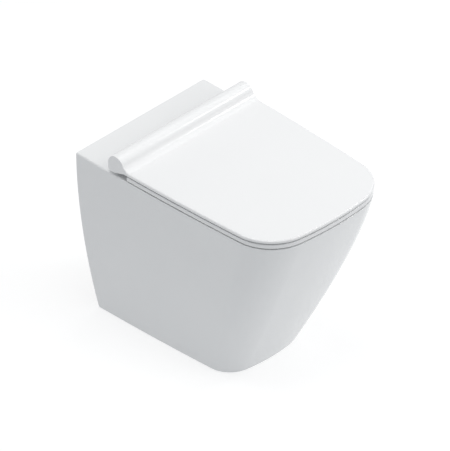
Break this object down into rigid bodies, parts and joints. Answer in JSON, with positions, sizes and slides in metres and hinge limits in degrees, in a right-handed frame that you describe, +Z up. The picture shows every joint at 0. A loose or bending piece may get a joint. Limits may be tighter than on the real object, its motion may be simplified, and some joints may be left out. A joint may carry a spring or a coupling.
{
  "type": "rimless toilet",
  "caption": "Back-to-wall floor-standing rimless toilet pan with a tapered full skirt, a slim soft-close seat and a lid rolled into a full-width hinge barrel.",
  "frame": {"origin": "on the floor under the middle of the footprint's bounding box", "axes": "+Z up, +Y towards the wall behind the toilet, -Y towards the front of the bowl, +X to the right of a person who faces the wall"},
  "size_m": [0.3658, 0.546, 0.4547],
  "materials": {
    "glazed_china": "gloss",
    "duroplast": "gloss",
    "hinge_metal": "polished",
    "fixing_steel": "satin",
    "zinc_steel": "satin",
    "black_rubber": "matte",
    "buffer_rubber": "matte",
    "nylon": "satin",
    "damper_plastic": "satin"
  },
  "bodies": {
    "pan": {"pan": "glazed_china", "flush_seal": "black_rubber", "lug_plugs": "nylon", "lug_bolts": "zinc_steel", "lug_washers": "zinc_steel", "floor_bracket_left": "zinc_steel", "floor_bracket_right": "zinc_steel", "expansion_sleeves": "black_rubber", "cone_nuts": "fixing_steel", "fixing_stud_left": "fixing_steel", "fixing_stud_right": "fixing_steel", "base_gaskets": "black_rubber", "base_plates": "hinge_metal", "hinge_post_left": "hinge_metal", "hinge_post_right": "hinge_metal", "hinge_pin_left": "hinge_metal", "hinge_pin_right": "hinge_metal"},
    "seat": {"seat": "duroplast", "seat_buffers": "buffer_rubber", "seat_damper": "damper_plastic", "seat_bush": "nylon"},
    "lid": {"lid": "duroplast", "lid_buffers": "buffer_rubber", "lid_damper": "damper_plastic", "lid_bush": "nylon"}
  },
  "joints": [
    {"name": "lid_hinge", "type": "hinge", "parent": "pan", "child": "lid", "pos_m": [0, 0.1585, 0.4335], "axis": [-1, 0, 0], "range_deg": [0, 100]},
    {"name": "seat_hinge", "type": "hinge", "parent": "pan", "child": "seat", "pos_m": [0, 0.1585, 0.4335], "axis": [-1, 0, 0], "range_deg": [0, 95]}
  ],
  "couplings": [
    {"joint": "seat_hinge", "follows": "lid_hinge", "ratio": 0.95}
  ]
}
